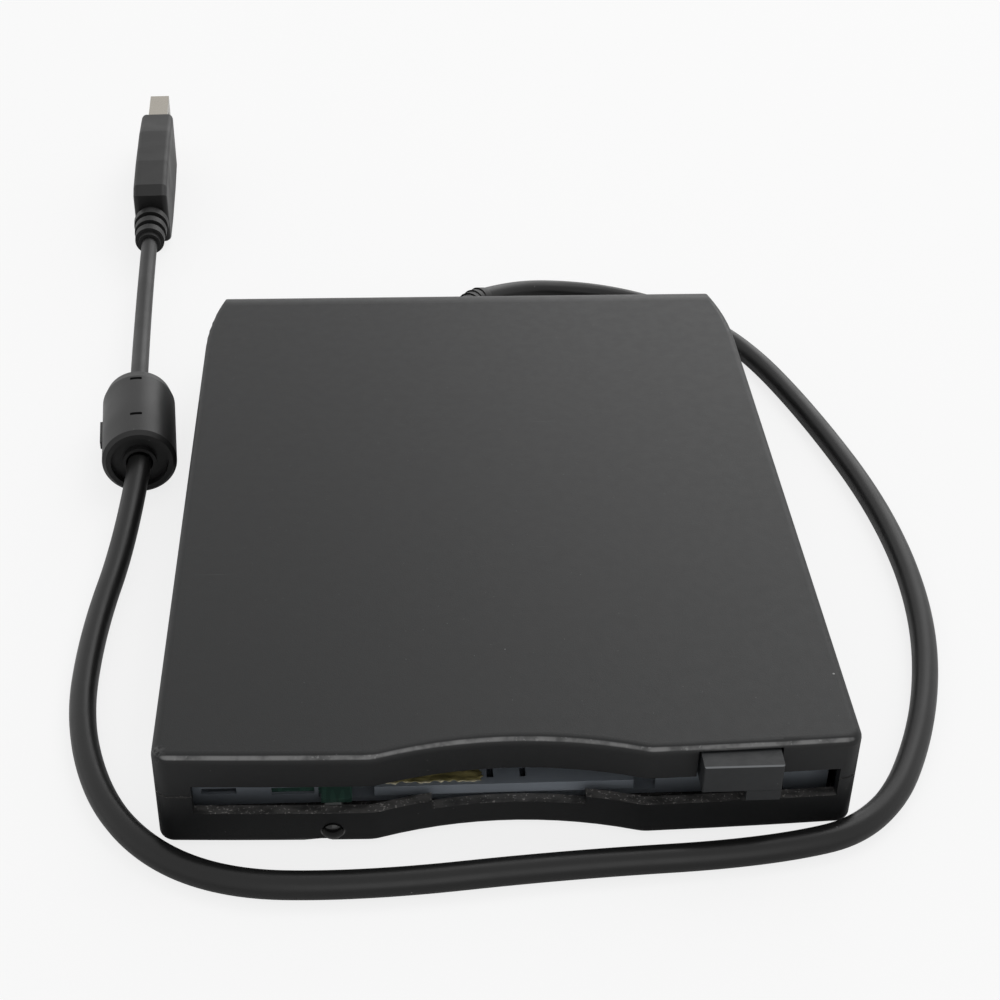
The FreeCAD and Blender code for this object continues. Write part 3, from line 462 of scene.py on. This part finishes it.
def add_tape():
    """The crumpled strip on the chassis's raised lip, waved and torn at its edges."""
    low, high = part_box("tape_strip")
    columns = 60
    rows = 22
    side_tear = 1.1 * mm
    end_tear = 1.4 * mm
    lift = 0.30 * mm
    mean_wave = 0.35
    sink = 0.02 * mm
    film = 0.06 * mm
    points = []
    for row in range(rows + 1):
        across = row / rows
        for column in range(columns + 1):
            along = column / columns
            x = low[0] + (high[0] - low[0]) * along
            y = low[1] + (high[1] - low[1]) * across
            at_side = abs(2 * across - 1) ** 3
            ragged_side = 0.5 + noise.noise(Vector((along * 16, across * 3, 2.0)))
            y -= (across - 0.5) * side_tear * at_side * ragged_side
            at_end = abs(2 * along - 1) ** 8
            ragged_end = 0.5 + noise.noise(Vector((5.0, across * 7, along * 2)))
            x -= (along - 0.5) * end_tear * at_end * ragged_end
            wave = noise.fractal(Vector((along * 9, across * 5, 0.3)), 1.0, 2.0, 4)
            z = high[2] + lift * max(0.0, mean_wave + wave) - sink
            points.append((x, y, z))
    faces = []
    for row in range(rows):
        for column in range(columns):
            first = row * (columns + 1) + column
            faces.append((first, first + 1, first + columns + 2, first + columns + 1))
    data = bpy.data.meshes.new("tape")
    data.from_pydata(points, [], faces)
    data.shade_smooth()
    tape = bpy.data.objects.new("tape", data)
    bpy.context.scene.collection.objects.link(tape)
    thickness = tape.modifiers.new("thickness", "SOLIDIFY")
    thickness.thickness = film
    thickness.offset = -1
    data.materials.append(torn_tape("torn_tape", (low[1] + high[1]) / 2, (high[1] - low[1]) / 2))
    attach(tape, "root")
    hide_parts("tape_strip")


add_tape()


def add_floor():
    """Pale floor that shows as near white where nothing shades it."""
    reach = 3.0
    level = -0.05 * mm
    paper_tone = 0.92
    white_share = 0.80
    data = bpy.data.meshes.new("floor")
    corners = [(x, y, level) for x, y in ((-reach, -reach), (reach, -reach), (reach, reach), (-reach, reach))]
    data.from_pydata(corners, [], [(0, 1, 2, 3)])
    floor = bpy.data.objects.new("floor", data)
    bpy.context.scene.collection.objects.link(floor)
    made = bpy.data.materials.new("pale_floor")
    made.use_nodes = True
    tree = made.node_tree
    tree.nodes.remove(tree.nodes["Principled BSDF"])
    paper = tree.nodes.new("ShaderNodeBsdfDiffuse")
    paper.inputs["Color"].default_value = (*grey(paper_tone), 1)
    white = tree.nodes.new("ShaderNodeEmission")
    white.inputs["Strength"].default_value = 1.0
    rays = tree.nodes.new("ShaderNodeLightPath")
    share = tree.nodes.new("ShaderNodeMath")
    share.operation = "MULTIPLY"
    share.inputs[1].default_value = white_share
    mixed = tree.nodes.new("ShaderNodeMixShader")
    tree.links.new(rays.outputs["Is Camera Ray"], share.inputs[0])
    tree.links.new(share.outputs[0], mixed.inputs[0])
    tree.links.new(paper.outputs[0], mixed.inputs[1])
    tree.links.new(white.outputs[0], mixed.inputs[2])
    tree.links.new(mixed.outputs[0], tree.nodes["Material Output"].inputs["Surface"])
    data.materials.append(made)


def add_world():
    """Even light all round, and plain white wherever the camera or a reflection looks past the floor."""
    soft_strength = 0.55
    world = bpy.data.worlds.new("studio")
    bpy.context.scene.world = world
    world.use_nodes = True
    tree = world.node_tree
    soft = tree.nodes["Background"]
    soft.inputs["Color"].default_value = (1, 1, 1, 1)
    soft.inputs["Strength"].default_value = soft_strength
    white = tree.nodes.new("ShaderNodeBackground")
    white.inputs["Color"].default_value = (1, 1, 1, 1)
    white.inputs["Strength"].default_value = 1.0
    rays = tree.nodes.new("ShaderNodeLightPath")
    looks_past = rays.outputs["Is Camera Ray"]
    for kind in ("Is Glossy Ray", "Is Transmission Ray"):
        either = tree.nodes.new("ShaderNodeMath")
        either.operation = "ADD"
        either.use_clamp = True
        tree.links.new(looks_past, either.inputs[0])
        tree.links.new(rays.outputs[kind], either.inputs[1])
        looks_past = either.outputs[0]
    mixed = tree.nodes.new("ShaderNodeMixShader")
    tree.links.new(looks_past, mixed.inputs[0])
    tree.links.new(soft.outputs[0], mixed.inputs[1])
    tree.links.new(white.outputs[0], mixed.inputs[2])
    tree.links.new(mixed.outputs[0], tree.nodes["World Output"].inputs["Surface"])


def add_lamp(name, place, target, size, power):
    """Square soft lamp aimed at a point, its size in metres and its power in watts."""
    data = bpy.data.lights.new(name, "AREA")
    data.size = size
    data.energy = power
    lamp = bpy.data.objects.new(name, data)
    bpy.context.scene.collection.objects.link(lamp)
    lamp.location = place
    lamp.rotation_euler = (Vector(target) - Vector(place)).to_track_quat("-Z", "Y").to_euler()


add_floor()
add_world()
add_lamp("overhead", place=(0.35, 0.40, 0.90), target=(0, 0, 0), size=0.6, power=2.2)
add_lamp("front_fill", place=(0.15, -0.9, 0.45), target=(0, 0, 0), size=0.6, power=1.1)
add_lamp("rear_glow", place=(0.45, 1.1, 0.50), target=(0, 0.05, 0), size=0.8, power=2.3)

bpy.context.scene.view_settings.view_transform = "Standard"
